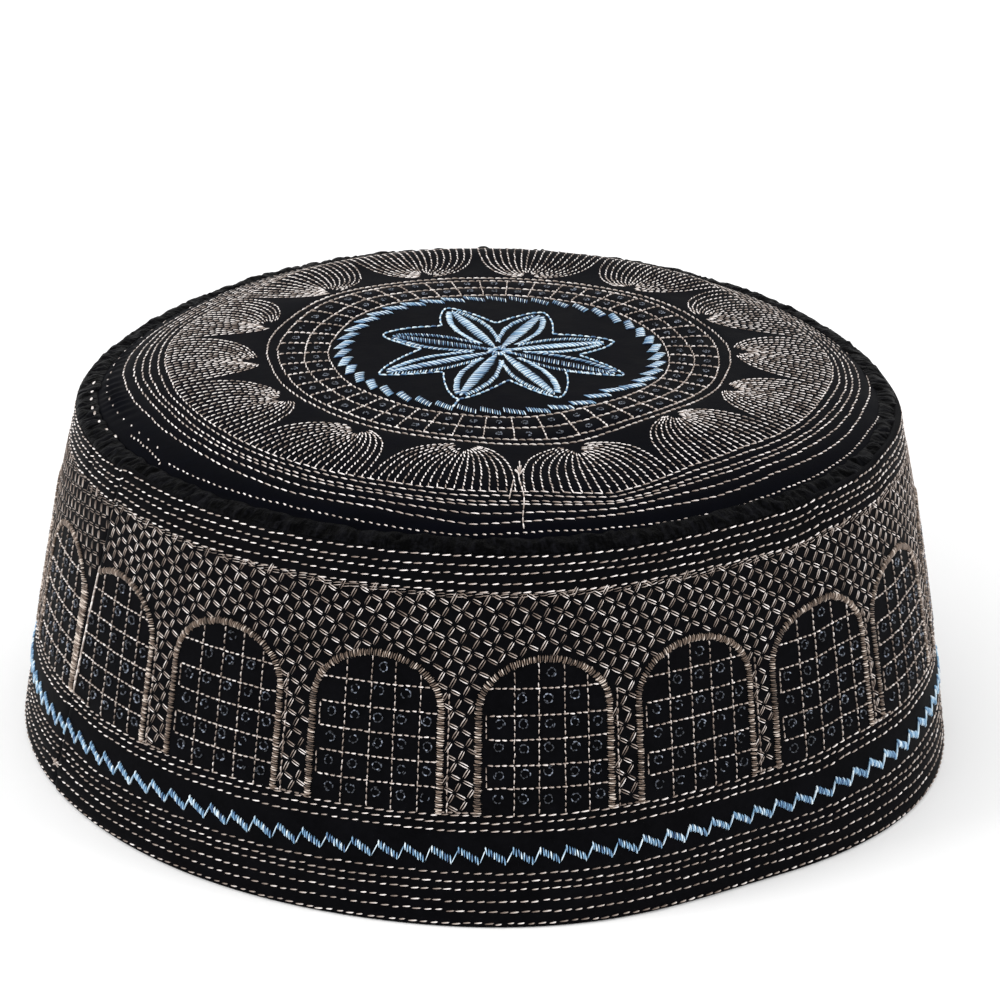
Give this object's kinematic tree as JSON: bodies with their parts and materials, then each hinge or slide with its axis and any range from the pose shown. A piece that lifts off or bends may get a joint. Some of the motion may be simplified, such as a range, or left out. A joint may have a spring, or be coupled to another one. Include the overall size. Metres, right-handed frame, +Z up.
{
  "type": "kufi cap",
  "caption": "Round embroidered kufi cap: a low domed crown panel and a sloping side band joined by an overcast seam, open below for the head.",
  "frame": {"origin": "middle of the rim's footprint, on the surface the cap rests on", "axes": "+Z up through the crown, -Y towards the front of the cap, +X to the right seen from the front"},
  "size_m": [0.1862, 0.187, 0.0761],
  "materials": {
    "cloth": "black woven cotton satin, quilted by its stitching",
    "seam_thread": "matt black overcast thread",
    "cream_thread": "cream twisted embroidery thread with a soft shine",
    "blue_thread": "blue floss with a silky shine"
  },
  "bodies": {
    "root": {"side_band": "cloth", "crown": "cloth", "crown_seam": "seam_thread"}
  },
  "joints": []
}
